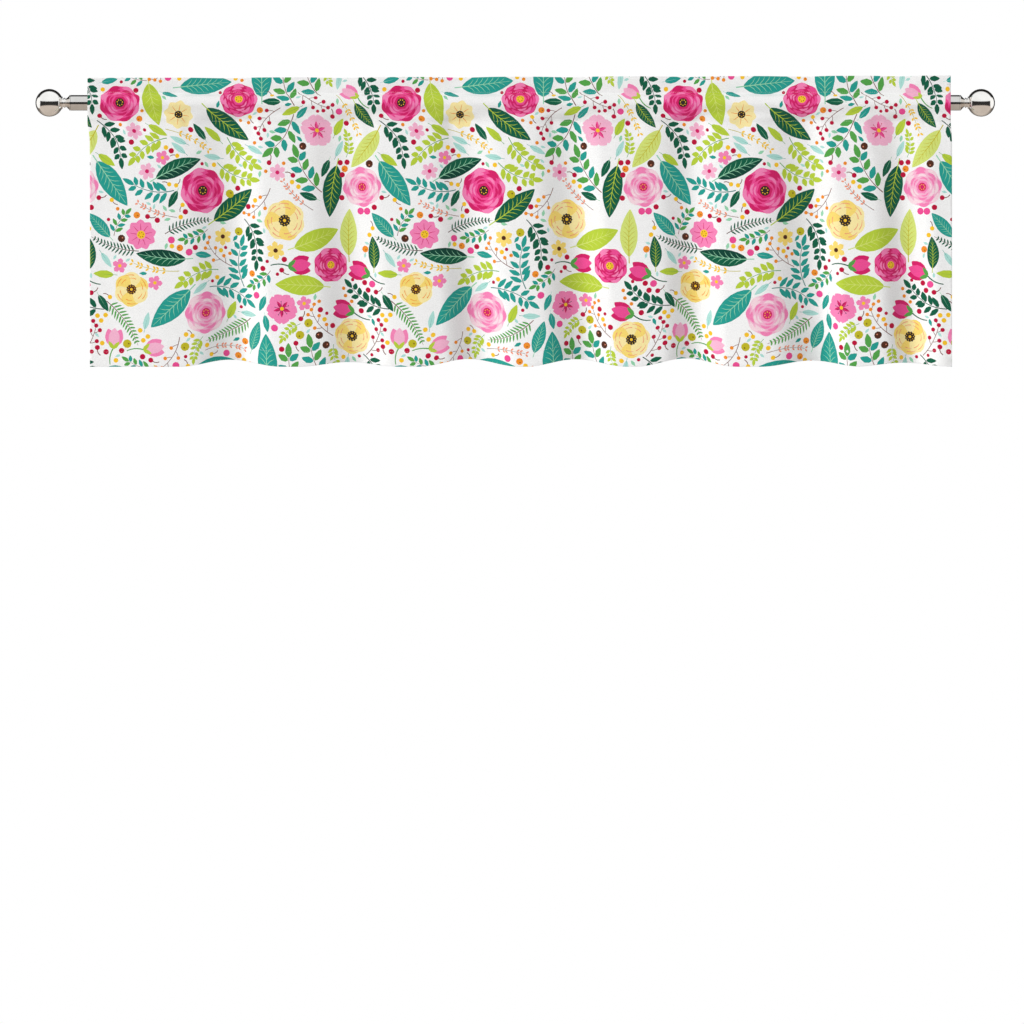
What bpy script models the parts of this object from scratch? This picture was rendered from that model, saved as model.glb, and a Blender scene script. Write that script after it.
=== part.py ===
"""A window valance on its curtain rod, held up by the rod.

Metres, +Z up. The origin is on the rod's axis, at the middle of its length. +X runs along the rod
to the right, and the printed face looks towards -Y. The cloth is one sheet: its lower edge is
turned up behind as a hem, and its top is folded over to the back and sewn down twice, which makes
a standing heading above the rod and a pocket round it.
"""

import math

import bmesh
import bpy
from mathutils import Vector

# Rod
ROD_RADIUS = 0.012
ROD_WALL = 0.001
ROD_SIDES = 32

# Ball finials: where the middles of the balls are, and how far the plugs reach into the rod
BALL_X = 0.7238
BALL_RADIUS = 0.0215
PLUG_LENGTH = 0.016
FINIAL_SIDES = 24
BALL_STEPS = 10

# The turned neck from the ball to the collar that meets the rod's end: a ring against the ball,
# a groove, a bead, the neck, the cone of the shoulder and the collar
NECK_COLUMNS = ("from_ball_centre", "radius")
NECK = [
    dict(zip(NECK_COLUMNS, row))
    for row in (
        (0.0197, 0.0096),
        (0.0205, 0.0096),
        (0.0212, 0.0066),
        (0.0226, 0.0066),
        (0.0232, 0.0079),
        (0.0246, 0.0079),
        (0.0254, 0.0061),
        (0.0280, 0.0061),
        (0.0308, 0.0112),
        (0.0316, 0.0120),
        (0.0326, 0.0120),
    )
]

# Seats between pieces
SEAT_GAP = 0.0003
ROD_HALF_LENGTH = BALL_X - NECK[-1]["from_ball_centre"] - SEAT_GAP

# Cloth
CLOTH_THICKNESS = 0.0012
LAYER_GAP = 0.0004
HEADING_TOP_LEFT = 0.0386
HEADING_TOP_RIGHT = 0.0424
POCKET_SEAM = -0.0285
SEAM_TAIL = 0.003
HEM_EDGE = -0.4100
HEM_TURN_UP = 0.025
NECK_FILLET = 0.004
POCKET_LEFT, POCKET_RIGHT = -0.6641, 0.6762
DROP_LEFT, DROP_RIGHT = -0.6603, 0.6782

# Share of a fold's depth at the pocket's seam and in the heading, the height over which it comes
# in above the rod, the power by which it grows downwards, and the dip in the heading's edge
SEAM_SHARE = 0.34
HEADING_SHARE = 0.12
HEADING_EASE = 0.020
GROWTH = 0.85
HEADING_DIP = 0.0012

# Share of the drop over which the side edges come in from the pocket's width
EDGE_EASE = 1 / 12

# Half the distance over which the slope of the folds is read
SLOPE_STEP = 0.0005

# Each trough between the cloth's ridges: where it lies along the rod at the seam and at the hem,
# how deep it is there, how far its left and right walls reach, how much it lifts the hem, and how
# far the ridge on its right swells forward.
FOLD_COLUMNS = ("seam_x", "hem_x", "depth", "left_reach", "right_reach", "hem_lift", "swell")
FOLDS = [
    dict(zip(FOLD_COLUMNS, row))
    for row in (
        (-0.4414, -0.4243, 0.0250, 0.080, 0.048, 0.0110, 0.006),
        (-0.2679, -0.2400, 0.0180, 0.064, 0.052, 0.0073, 0.005),
        (-0.0820, -0.0541, 0.0220, 0.056, 0.060, 0.0120, 0.006),
        (0.0884, 0.1132, 0.0250, 0.066, 0.046, 0.0117, 0.005),
        (0.2712, 0.2836, 0.0200, 0.054, 0.048, 0.0130, 0.007),
        (0.4509, 0.4787, 0.0270, 0.078, 0.044, 0.0097, 0.004),
        (0.5949, 0.6212, 0.0200, 0.048, 0.050, 0.0062, 0.003),
    )
]
LEFT_EDGE_SWELL = 0.006

# How far in front of the rod's plane the cloth between the troughs hangs, where folds are open
RIDGE_FORWARD = 0.009

# The hem is highest a little to the left of each trough, and low again this far away
LIFT_OFFSET = -0.018
LIFT_REACH = 0.080

# Columns of the sheet between one trough and the next, from the left edge to the right edge
COLUMNS_PER_SECTION = (10, 8, 8, 8, 8, 8, 7, 6)


def smooth_step(value):
    """0 below 0, 1 above 1, and an even S between."""
    value = min(max(value, 0.0), 1.0)
    return value * value * (3 - 2 * value)


def mix(start, end, share):
    return start + (end - start) * share


def drop_share(z):
    """0 at the pocket's seam and above it, 1 at the hem."""
    return min(max((POCKET_SEAM - z) / (POCKET_SEAM - HEM_EDGE), 0.0), 1.0)


def edge_x(z):
    """Where the cloth's left and right edges are at a height."""
    share = smooth_step(drop_share(z) / EDGE_EASE)
    return mix(POCKET_LEFT, DROP_LEFT, share), mix(POCKET_RIGHT, DROP_RIGHT, share)


def trough_x(fold, z):
    return mix(fold["seam_x"], fold["hem_x"], drop_share(z))


def wall(distance, reach):
    """The depth of a trough's wall, 1 in the trough and 0 past its reach, as a share of its depth."""
    if abs(distance) >= reach:
        return 0.0
    return 0.5 + 0.5 * math.cos(math.pi * distance / reach)


def trough_share(fold, x, z):
    distance = x - trough_x(fold, z)
    return wall(distance, fold["right_reach"] if distance > 0 else fold["left_reach"])


def relief(x, z):
    """How far the cloth lies behind the rod's own plane where its folds are fully open."""
    left, right = edge_x(z)
    lines = [left] + [trough_x(fold, z) for fold in FOLDS] + [right]
    swells = [LEFT_EDGE_SWELL] + [fold["swell"] for fold in FOLDS]
    back = sum(fold["depth"] * trough_share(fold, x, z) for fold in FOLDS) - RIDGE_FORWARD
    for start, end, swell in zip(lines, lines[1:], swells):
        if start <= x <= end:
            back -= swell * math.sin(math.pi * (x - start) / (end - start)) ** 2
    return back


def hem_lift(x, z):
    """How much higher than its lowest line the hem hangs, which dies out on the way up."""
    lift = 0.0
    for fold in FOLDS:
        lift += fold["hem_lift"] * wall(x - trough_x(fold, z) - LIFT_OFFSET, LIFT_REACH)
    return lift * drop_share(z) ** 2


def fold_share(z):
    """How much of the folds' relief shows at a height."""
    if z < POCKET_SEAM:
        return mix(SEAM_SHARE, 1.0, drop_share(z) ** GROWTH)
    if z < 0:
        clear_of_rod = ROD_RADIUS + CLOTH_THICKNESS
        return SEAM_SHARE * smooth_step((-z - clear_of_rod) / (-POCKET_SEAM - clear_of_rod))
    return HEADING_SHARE * smooth_step((z - ROD_RADIUS - NECK_FILLET) / HEADING_EASE)


def heading_top(x):
    """The height of the heading's upper edge, which climbs a little to the right."""
    share = (x - POCKET_LEFT) / (POCKET_RIGHT - POCKET_LEFT)
    dip = max(trough_share(fold, x, 0.0) for fold in FOLDS)
    return mix(HEADING_TOP_LEFT, HEADING_TOP_RIGHT, share) - HEADING_DIP * dip


def arc(centre, radius, start, end, share):
    """A point (offset from the cloth's mid plane, height) on an arc, angles in radians from +offset."""
    angle = mix(start, end, share)
    return centre[0] + radius * math.cos(angle), centre[1] + radius * math.sin(angle)


HALF_SPACING = (CLOTH_THICKNESS + LAYER_GAP) / 2
ROD_ARC_STEPS = 5


def rod_wrap():
    """How the sheet's mid line goes round the rod, for the front layer: the radius of the arc's
    points, the angles of its ends at the rod's axis, from the top towards the front, and the
    height where the pocket's neck closes above the rod."""
    hug = ROD_RADIUS + SEAT_GAP + CLOTH_THICKNESS / 2
    neck_height = math.sqrt((hug + NECK_FILLET) ** 2 - (HALF_SPACING + NECK_FILLET) ** 2)
    from_top = math.asin((HALF_SPACING + NECK_FILLET) / (hug + NECK_FILLET))
    seam_reach = math.hypot(HALF_SPACING, POCKET_SEAM)
    seam_angle = math.pi - math.asin(HALF_SPACING / seam_reach)
    to_seam = seam_angle - math.acos(hug / seam_reach)
    outer = hug / math.cos((to_seam - from_top) / ROD_ARC_STEPS / 2)
    return outer, from_top, to_seam, neck_height


WRAP_RADIUS, WRAP_START, WRAP_END, NECK_HEIGHT = rod_wrap()


def on_rod(angle):
    """A point of the front layer on the rod, by its angle from the top towards the front."""
    return -WRAP_RADIUS * math.sin(angle), WRAP_RADIUS * math.cos(angle)


def hem_inside(share, x):
    return HALF_SPACING, mix(HEM_EDGE + HEM_TURN_UP, HEM_EDGE + HALF_SPACING, share)


def hem_turn(share, x):
    return arc((0, HEM_EDGE + HALF_SPACING), HALF_SPACING, 0, -math.pi, share)


def drop(share, x):
    return -HALF_SPACING, mix(HEM_EDGE + HALF_SPACING, POCKET_SEAM, share)


def pocket_below_rod(share, x):
    end = on_rod(WRAP_END)
    return mix(-HALF_SPACING, end[0], share), mix(POCKET_SEAM, end[1], share)


def pocket_on_rod(share, x):
    return on_rod(mix(WRAP_END, WRAP_START, share))


def pocket_neck(share, x):
    return arc(
        (-HALF_SPACING - NECK_FILLET, NECK_HEIGHT), NECK_FILLET, -math.pi / 2 + WRAP_START, 0, share
    )


def heading_front(share, x):
    return -HALF_SPACING, mix(NECK_HEIGHT, heading_top(x) - HALF_SPACING, share)


def top_turn(share, x):
    return arc((0, heading_top(x) - HALF_SPACING), HALF_SPACING, math.pi, 0, share)


def seam_tail(share, x):
    return HALF_SPACING, POCKET_SEAM - SEAM_TAIL * share


def behind(stretch):
    """The back layer's stretch, which is the front one's seen the other way round."""

    def mirrored(share, x):
        offset, height = stretch(1 - share, x)
        return -offset, height

    return mirrored


# The sheet's section from the hem's raw end to the end of the pocket's back layer, with the number
# of rows in each stretch
SECTION = (
    (hem_inside, 1),
    (hem_turn, 3),
    (drop, 9),
    (pocket_below_rod, 2),
    (pocket_on_rod, ROD_ARC_STEPS),
    (pocket_neck, 2),
    (heading_front, 2),
    (top_turn, 3),
    (behind(heading_front), 1),
    (behind(pocket_neck), 2),
    (behind(pocket_on_rod), ROD_ARC_STEPS),
    (behind(pocket_below_rod), 2),
    (seam_tail, 1),
)


def row_points():
    """For each row of the sheet, the stretch that it lies in and its share of that stretch."""
    rows = [(SECTION[0][0], 0.0)]
    for stretch, steps in SECTION:
        rows += [(stretch, step / steps) for step in range(1, steps + 1)]
    return rows


def column_points():
    """For each column of the sheet, its section between troughs and its share of the way across."""
    columns = [(0, 0.0)]
    for section, count in enumerate(COLUMNS_PER_SECTION):
        columns += [
            (section, 0.5 - 0.5 * math.cos(math.pi * step / count)) for step in range(1, count + 1)
        ]
    return columns


def column_x(section, share, z):
    left, right = edge_x(z)
    lines = [left] + [trough_x(fold, z) for fold in FOLDS] + [right]
    return mix(lines[section], lines[section + 1], share)


def hang(column, row):
    """The place in space of a point of the sheet's mid surface."""
    section, across = column
    stretch, along = row
    x = column_x(section, across, 0.0)
    offset, z = stretch(along, x)
    x = column_x(section, across, z)
    share = fold_share(z)
    rise = relief(x + SLOPE_STEP, z) - relief(x - SLOPE_STEP, z)
    slope = share * rise / (2 * SLOPE_STEP)
    back = Vector((-slope, 1, 0)).normalized()
    return Vector((x, share * relief(x, z), z + hem_lift(x, z))) + back * offset


def principled(name, colour, roughness, metallic):
    material = bpy.data.materials.new(name)
    material.use_nodes = True
    shader = material.node_tree.nodes["Principled BSDF"]
    shader.inputs["Base Color"].default_value = (*colour, 1)
    shader.inputs["Roughness"].default_value = roughness
    shader.inputs["Metallic"].default_value = metallic
    return material


def add_object(name, mesh, material, collection):
    mesh.materials.append(material)
    made = bpy.data.objects.new(name, mesh)
    collection.objects.link(made)
    return made


def add_cloth(material, collection):
    """The valance: a sheet in its hung folds, with its hem, its pocket and its heading."""
    rows, columns = row_points(), column_points()
    sheet = bmesh.new()
    bmesh.ops.create_grid(sheet, x_segments=len(columns) - 1, y_segments=len(rows) - 1, size=1)
    for vertex in sheet.verts:
        column = round((vertex.co.x + 1) / 2 * (len(columns) - 1))
        row = round((vertex.co.y + 1) / 2 * (len(rows) - 1))
        vertex.co = hang(columns[column], rows[row])
    mesh = bpy.data.meshes.new("cloth")
    sheet.to_mesh(mesh)
    sheet.free()
    cloth = add_object("cloth", mesh, material, collection)
    thickness = cloth.modifiers.new("thickness", "SOLIDIFY")
    thickness.thickness = CLOTH_THICKNESS
    thickness.offset = 0
    thickness.use_even_offset = True
    mesh.shade_smooth()


def turned(name, profile, sides, closed):
    """A mesh with a profile of (radius, height) points, from its top down, ready to be turned."""
    half_step = math.pi / sides
    outline = bmesh.new()
    points = [
        outline.verts.new((radius * math.cos(half_step), radius * math.sin(half_step), height))
        for radius, height in profile
    ]
    following = points[1:] + points[:1] if closed else points[1:]
    for start, end in zip(points, following):
        outline.edges.new((start, end))
    mesh = bpy.data.meshes.new(name)
    outline.to_mesh(mesh)
    outline.free()
    return mesh


def turn(made, sides):
    """Turns a profile full circle about its own Z axis."""
    screw = made.modifiers.new("turn", "SCREW")
    screw.axis = "Z"
    screw.angle = 2 * math.pi
    screw.steps = screw.render_steps = sides
    screw.use_merge_vertices = True
    screw.merge_threshold = 0.00001
    screw.use_smooth_shade = True


def add_rod(material, collection):
    """The rod: a plain tube, with a flat facet down where a bracket's cradle carries it."""
    inner = ROD_RADIUS - ROD_WALL
    profile = (
        (ROD_RADIUS, ROD_HALF_LENGTH),
        (ROD_RADIUS, -ROD_HALF_LENGTH),
        (inner, -ROD_HALF_LENGTH),
        (inner, ROD_HALF_LENGTH),
    )
    rod = add_object("rod", turned("rod", profile, ROD_SIDES, True), material, collection)
    rod.rotation_euler.y = math.pi / 2
    turn(rod, ROD_SIDES)


def finial_profile():
    """(radius, height) from the ball's tip down its neck, over the shoulder to the plug's end."""
    ball_end = math.pi - math.asin(NECK[0]["radius"] / BALL_RADIUS)
    angles = [ball_end * step / BALL_STEPS for step in range(BALL_STEPS + 1)]
    ball = [(BALL_RADIUS * math.sin(angle), BALL_RADIUS * math.cos(angle)) for angle in angles]
    neck = [(row["radius"], -row["from_ball_centre"]) for row in NECK]
    plug_radius = ROD_RADIUS - ROD_WALL - SEAT_GAP
    collar_end = -NECK[-1]["from_ball_centre"]
    plug = [
        (plug_radius, collar_end),
        (plug_radius, collar_end - PLUG_LENGTH),
        (0, collar_end - PLUG_LENGTH),
    ]
    return ball + neck + plug


def add_finial(side, mesh, collection):
    """A ball on a turned neck, whose plug sits in the end of the rod."""
    name = "finial_right" if side > 0 else "finial_left"
    finial = bpy.data.objects.new(name, mesh)
    collection.objects.link(finial)
    finial.location.x = side * BALL_X
    finial.rotation_euler.y = side * math.pi / 2
    turn(finial, FINIAL_SIDES)


def main():
    for old in list(bpy.data.objects):
        bpy.data.objects.remove(old)
    collection = bpy.data.collections.new("window_valance_on_rod")
    bpy.context.scene.collection.children.link(collection)
    printed_cloth = principled("printed_cloth", (0.93, 0.93, 0.92), 0.9, 0.0)
    polished_nickel = principled("polished_nickel", (0.62, 0.59, 0.56), 0.22, 1.0)
    add_cloth(printed_cloth, collection)
    add_rod(polished_nickel, collection)
    finial_mesh = turned("finial", finial_profile(), FINIAL_SIDES, False)
    finial_mesh.materials.append(polished_nickel)
    for side in (-1, 1):
        add_finial(side, finial_mesh, collection)


main()
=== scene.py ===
import math

import bmesh
import bpy
import numpy as np
from mathutils import Matrix, Vector
from mathutils.geometry import delaunay_2d_cdt


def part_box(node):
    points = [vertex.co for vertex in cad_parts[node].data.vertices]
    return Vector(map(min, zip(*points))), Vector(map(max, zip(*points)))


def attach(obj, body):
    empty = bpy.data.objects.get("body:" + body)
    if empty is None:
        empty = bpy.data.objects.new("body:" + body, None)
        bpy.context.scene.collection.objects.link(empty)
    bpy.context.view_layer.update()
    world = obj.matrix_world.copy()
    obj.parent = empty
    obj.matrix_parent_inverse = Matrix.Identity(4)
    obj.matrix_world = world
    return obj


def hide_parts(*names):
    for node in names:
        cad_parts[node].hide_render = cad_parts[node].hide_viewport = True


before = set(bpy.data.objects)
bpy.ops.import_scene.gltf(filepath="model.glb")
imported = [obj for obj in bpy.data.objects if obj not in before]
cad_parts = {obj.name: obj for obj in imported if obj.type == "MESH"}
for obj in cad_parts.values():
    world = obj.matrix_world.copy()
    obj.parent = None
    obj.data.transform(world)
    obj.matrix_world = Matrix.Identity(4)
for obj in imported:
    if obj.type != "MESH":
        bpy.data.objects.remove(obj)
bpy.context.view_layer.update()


# Curtain rod
# A 24 mm steel tube with a 1 mm wall, cut to 1.38 m and nickel plated. The cloth's pocket is
# threaded on it, and wall brackets carry the bare ends.

ROD_RADIUS = 0.012
ROD_WALL = 0.001
ROD_RIM_ROUNDING = 0.0002
TURNING_STEPS = 96
TURNING_MERGE = 0.000002
SHARP_EDGE = math.radians(40)


def lathe(profile, closed=False):
    """A bmesh of (along the rod, radius) points, turned full circle about the rod's axis."""
    turned = bmesh.new()
    points = [turned.verts.new((along, 0, radius)) for along, radius in profile]
    following = points[1:] + points[:1] if closed else points[1:]
    for start, end in zip(points, following):
        turned.edges.new((start, end))
    bmesh.ops.spin(
        turned,
        geom=turned.verts[:] + turned.edges[:],
        axis=(1, 0, 0),
        cent=(0, 0, 0),
        angle=2 * math.pi,
        steps=TURNING_STEPS,
        use_merge=True,
    )
    bmesh.ops.remove_doubles(turned, verts=turned.verts, dist=TURNING_MERGE)
    bmesh.ops.recalc_face_normals(turned, faces=turned.faces)
    return turned


def round_rims(turned, width, least_angle=0.5):
    """Rounds the edges that turning leaves sharp."""
    sharp = [edge for edge in turned.edges if edge.calc_face_angle(0) > least_angle]
    bmesh.ops.bevel(
        turned, geom=sharp, offset=width, segments=3, profile=0.5, affect="EDGES", material=-1
    )


def place_piece(mesh, material, slot, *replaced):
    """Puts a mesh in the scene as a piece of the object, in place of any CAD nodes named."""
    mesh.materials.append(material)
    piece = bpy.data.objects.new(mesh.name, mesh)
    bpy.context.scene.collection.objects.link(piece)
    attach(piece, "root")
    if replaced:
        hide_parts(*replaced)
    return piece


def turned_mesh(name, turned):
    """A turned bmesh as a smooth mesh, sharp where its outline has corners."""
    mesh = bpy.data.meshes.new(name)
    turned.to_mesh(mesh)
    turned.free()
    mesh.shade_smooth()
    mesh.set_sharp_from_angle(angle=SHARP_EDGE)
    return mesh


def add_node(tree, kind, inputs, **settings):
    """A shader node with its inputs set, or linked where they are sockets."""
    node = tree.nodes.new("ShaderNode" + kind)
    for key, value in settings.items():
        setattr(node, key, value)
    for key, value in inputs.items():
        if isinstance(value, bpy.types.NodeSocket):
            tree.links.new(value, node.inputs[key])
        else:
            node.inputs[key].default_value = value
    return node


class Finish:
    """A material's node tree, with its shader, and short ways to add to it."""

    def __init__(self, name):
        self.material = bpy.data.materials.new(name)
        self.material.use_nodes = True
        self.tree = self.material.node_tree
        self.shader = self.tree.nodes["Principled BSDF"]

    def node(self, kind, inputs=None, **settings):
        return add_node(self.tree, kind, inputs or {}, **settings)

    def math(self, operation, first, second=0.0, third=0.0):
        values = {0: first, 1: second, 2: third}
        return self.node("Math", values, operation=operation).outputs[0]

    def between(self, value, low, high):
        """Takes 0 to 1 to low to high."""
        return self.node("MapRange", {"Value": value, "To Min": low, "To Max": high}).outputs[0]

    def set(self, **sockets):
        for key, value in sockets.items():
            socket = self.shader.inputs[key.replace("_", " ")]
            if isinstance(value, bpy.types.NodeSocket):
                self.tree.links.new(value, socket)
            else:
                socket.default_value = value


NICKEL_DARK = (0.67, 0.63, 0.59)
NICKEL_LIGHT = (0.76, 0.72, 0.68)
# The rod's copy of the nickel is painted darker than the finials', as painted shade; the finials'
# copy is not darkened.
ROD_PAINTED_SHADE, FINIAL_SHADE = 0.74, 1.0


def polished_nickel(name, shade):
    """Bright nickel plate: warm, mirror smooth, with faint polishing marks and a little haze. The
    tube's copy is painted a shade darker than the finials', as painted shade."""
    finish = Finish(name)
    place = finish.node("TexCoord").outputs["Object"]
    haze = finish.node("TexNoise", {"Vector": place, "Scale": 55.0, "Detail": 4.0}).outputs["Fac"]
    stretched = finish.node("Mapping", {"Vector": place, "Scale": (60.0, 900.0, 900.0)})
    marks = finish.node("TexNoise", {"Vector": stretched.outputs[0], "Scale": 1.0, "Detail": 3.0})
    tint = finish.node("ValToRGB", {"Fac": haze})
    tint.color_ramp.elements[0].position = 0.35
    tint.color_ramp.elements[0].color = (*(part * shade for part in NICKEL_DARK), 1)
    tint.color_ramp.elements[1].position = 0.65
    tint.color_ramp.elements[1].color = (*(part * shade for part in NICKEL_LIGHT), 1)
    finish.set(
        Metallic=1.0,
        Base_Color=tint.outputs["Color"],
        Roughness=finish.between(finish.math("MULTIPLY", haze, marks.outputs["Fac"]), 0.07, 0.22),
        Normal=finish.node(
            "Bump", {"Height": marks.outputs["Fac"], "Strength": 0.02, "Distance": 0.0002}
        ).outputs[0],
    )
    return finish.material


rod_low, rod_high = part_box("rod")
rod_shape = lathe(
    (
        (rod_low[0], ROD_RADIUS),
        (rod_high[0], ROD_RADIUS),
        (rod_high[0], ROD_RADIUS - ROD_WALL),
        (rod_low[0], ROD_RADIUS - ROD_WALL),
    ),
    closed=True,
)
round_rims(rod_shape, ROD_RIM_ROUNDING)
# The rod's nickel carries the painted shade.
rod_nickel = polished_nickel("rod_nickel", ROD_PAINTED_SHADE)
rod = place_piece(turned_mesh("curtain_rod", rod_shape), rod_nickel, "nickel", "rod")


# Ball finials
# Turned and polished metal, nickel plated like the rod. Each is one turning: a ball, a ring and a
# bead on a thin neck, a flared shoulder with a collar, and a plug that pushes into the rod's end.

BALL_X = 0.7238
BALL_RADIUS = 0.0215
BALL_STEPS = 44
PLUG_LENGTH = 0.016
PLUG_CLEARANCE = 0.0003
PLUG_RADIUS = ROD_RADIUS - ROD_WALL - PLUG_CLEARANCE
FINIAL_ROUNDING = 0.00035

RING = {"at": 0.0201, "half_width": 0.0005, "radius": 0.0096}
BEAD = {"at": 0.0239, "half_width": 0.0011, "radius": 0.0079}
GROOVE_RADIUS = 0.0066
NECK_RADIUS = 0.0061
NECK_START = 0.0254
COLLAR_START, COLLAR_END = 0.0314, 0.0326
COLLAR_RADIUS = 0.0120
SHOULDER_RADIUS = COLLAR_RADIUS * 0.96
BEAD_FULLNESS = 0.6
FLARE_LATENESS = 1.3


def bulge(at, half_width, radius, foot, steps=8):
    """A half-round bead's outline between two feet of the same radius."""
    angles = [math.pi * step / steps for step in range(steps + 1)]
    return [
        (at - half_width * math.cos(angle), foot + (radius - foot) * math.sin(angle) ** BEAD_FULLNESS)
        for angle in angles
    ]


def flare(start, end, low, high, steps=8):
    """A shoulder's outline, which swells out of the neck in an even S."""
    outline = []
    for step in range(steps + 1):
        share = step / steps
        outline.append((start + (end - start) * share, low + (high - low) * share**FLARE_LATENESS))
    return outline


def finial_outline():
    """(distance from the ball's centre towards the rod, radius) from the tip to the plug's end."""
    ball_end = math.pi - math.asin(RING["radius"] / BALL_RADIUS)
    outline = []
    for step in range(BALL_STEPS + 1):
        angle = ball_end * step / BALL_STEPS
        outline.append((-BALL_RADIUS * math.cos(angle), BALL_RADIUS * math.sin(angle)))
    outline.append((RING["at"] + RING["half_width"], RING["radius"]))
    outline.append((RING["at"] + 2 * RING["half_width"], GROOVE_RADIUS))
    outline += bulge(BEAD["at"], BEAD["half_width"], BEAD["radius"], GROOVE_RADIUS)
    outline += flare(NECK_START, COLLAR_START, NECK_RADIUS, SHOULDER_RADIUS)
    outline += [
        (COLLAR_START, COLLAR_RADIUS),
        (COLLAR_END, COLLAR_RADIUS),
        (COLLAR_END, PLUG_RADIUS),
        (COLLAR_END + PLUG_LENGTH, PLUG_RADIUS),
        (COLLAR_END + PLUG_LENGTH, 0),
    ]
    return outline


finial_nickel = polished_nickel("finial_nickel", FINIAL_SHADE)
for side, node in ((-1, "finial_left"), (1, "finial_right")):
    finial_shape = lathe(
        [(side * (BALL_X - towards_rod), radius) for towards_rod, radius in finial_outline()]
    )
    round_rims(finial_shape, FINIAL_ROUNDING)
    place_piece(turned_mesh("ball_" + node, finial_shape), finial_nickel, "nickel", node)


# Print
# The white cloth is printed before it is cut, with a flower design that repeats every 457 mm both
# ways: roses, anemones and daisies with leaves, ferns, twigs and berries between them. Each motif is
# a stack of flat shapes, drawn as outlines of complex numbers and painted from the first to the last.

REPEAT = 457.0
DESIGN_COLOURS = {
    "white": (250, 250, 250),
    "hot_pink": (240, 78, 150),
    "deep_rose": (214, 30, 104),
    "rose": (248, 134, 186),
    "blush": (249, 184, 212),
    "pale_blush": (252, 221, 230),
    "crimson": (190, 8, 58),
    "sun": (253, 222, 118),
    "butter": (255, 237, 170),
    "gold": (250, 199, 44),
    "coral": (243, 150, 118),
    "orange": (243, 144, 40),
    "teal": (36, 158, 146),
    "deep_teal": (16, 118, 112),
    "aqua": (176, 226, 218),
    "mint": (150, 214, 176),
    "forest": (8, 92, 66),
    "bottle": (4, 66, 52),
    "leaf_green": (84, 164, 74),
    "lime": (186, 210, 62),
    "pale_lime": (214, 228, 122),
    "olive": (196, 186, 36),
    "twig": (122, 72, 62),
    "bark": (82, 42, 26),
    "ink": (46, 36, 34),
}


def ring(radius, lobes=0, depth=0.0, count=24):
    """A closed round outline, scalloped where it has lobes."""
    angles = np.arange(count) * 2 * np.pi / count
    return radius * (1 + depth * np.cos(lobes * angles)) * np.exp(1j * angles)


def petal(length, width, fullness=0.7, count=7, notch=0.0):
    """A petal or leaf outline from the origin along +x, fullest past its middle if fullness is
    over 1."""
    along = (1 - np.cos(np.linspace(0, np.pi, count + 1))) / 2
    half = width / 2 * np.sin(np.pi * along**fullness) ** 0.8
    upper = length * along + 1j * half
    outline = np.concatenate([upper, np.conj(upper[::-1])[1:-1]])
    outline[count] -= notch * length
    return outline


def curve(start, end, bend, count=6):
    """Points on a bow from start to end, which stands off its chord by bend of its length."""
    share = np.linspace(0, 1, count + 1)
    middle = (start + end) / 2 + 1j * (end - start) * bend * 2
    return (1 - share) ** 2 * start + 2 * share * (1 - share) * middle + share**2 * end


def stroke(line, width, end_width=None):
    """A brush stroke along a line, as a closed outline."""
    heading = np.gradient(line)
    side = 1j * heading / np.abs(heading)
    half = np.linspace(width, width if end_width is None else end_width, len(line)) / 2
    return np.concatenate([line + side * half, (line - side * half)[::-1]])


def heading_at(line, index):
    step = np.gradient(line)[index]
    return step / abs(step)


def full_rose(base, shade, light, heart, seeds, rings=4):
    """A many-petalled round flower of radius 1, drawn ring by ring towards its heart."""
    shapes = [(ring(0.90, 8, 0.035, 40), base)]
    for row in range(rings):
        radius = 0.93 - 0.62 * row / rings
        petals = 8 - row
        for index in range(petals):
            turn = np.exp(1j * (2 * np.pi * (index + 0.5 * (row % 2)) / petals + 0.35 * row))
            half = 0.9 * np.pi / petals
            sweep = np.linspace(-half, half, 5 if row > 1 else 8)
            rim = radius * np.exp(1j * sweep) * (1 - 0.15 * (sweep / half) ** 2)
            back = np.linspace(half, -half, 5)[1:-1]
            inner = (radius - 0.17 + 0.03 * row) * np.exp(1j * back)
            inner *= 1 - 0.10 * (back / half) ** 2
            tone = shade if (index + row) % 2 else light
            shapes.append((turn * np.concatenate([rim, inner]), tone))
    shapes.append((ring(0.30, 6, 0.08, 18), shade))
    shapes.append((ring(0.20, count=14), heart))
    for index in range(7):
        shapes.append((0.12 * np.exp(2j * np.pi * index / 7) + ring(0.028, count=5), seeds))
    return shapes


def anemone(petals, base, shade, line, heart, seeds):
    """An open flower of radius 1 with broad overlapping petals, brushed lines and a dark eye."""
    turns = [np.exp(2j * np.pi * (index + 0.1 * (index % 2)) / petals) for index in range(petals)]
    shapes = []
    for index, turn in enumerate(turns):
        shapes.append((turn * petal(1.0, 1.02, 1.35, 9, 0.04), base if index % 2 else shade))
    for turn in turns:
        for reach, lean in ((0.80, 0.12), (0.62, -0.11)):
            middle = reach * np.exp(1j * lean)
            bow = curve(middle * np.exp(-0.30j), middle * np.exp(0.30j), -0.10, 4)
            shapes.append((stroke(turn * bow, 0.045, 0.02), line))
    shapes.append((ring(0.27, 11, 0.10, 33), heart))
    for index in range(9):
        shapes.append((0.19 * np.exp(2j * np.pi * index / 9) + ring(0.026, count=5), seeds))
    shapes.append((ring(0.08, count=8), seeds))
    return shapes


def daisy(petals, colour, shade, heart, seeds):
    """A flower of radius 1 with narrow parted petals round a button."""
    shapes = []
    for index in range(petals):
        turn = np.exp(2j * np.pi * index / petals)
        shapes.append((turn * petal(1.0, 1.9 * np.pi / petals, 1.5, 7), colour))
        shapes.append((turn * stroke(curve(0.3 + 0j, 0.72 + 0j, 0.03, 3), 0.05, 0.02), shade))
    shapes.append((ring(0.27, count=18), heart))
    for index in range(6):
        shapes.append((0.15 * np.exp(2j * np.pi * index / 6) + ring(0.035, count=5), seeds))
    return shapes


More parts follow.
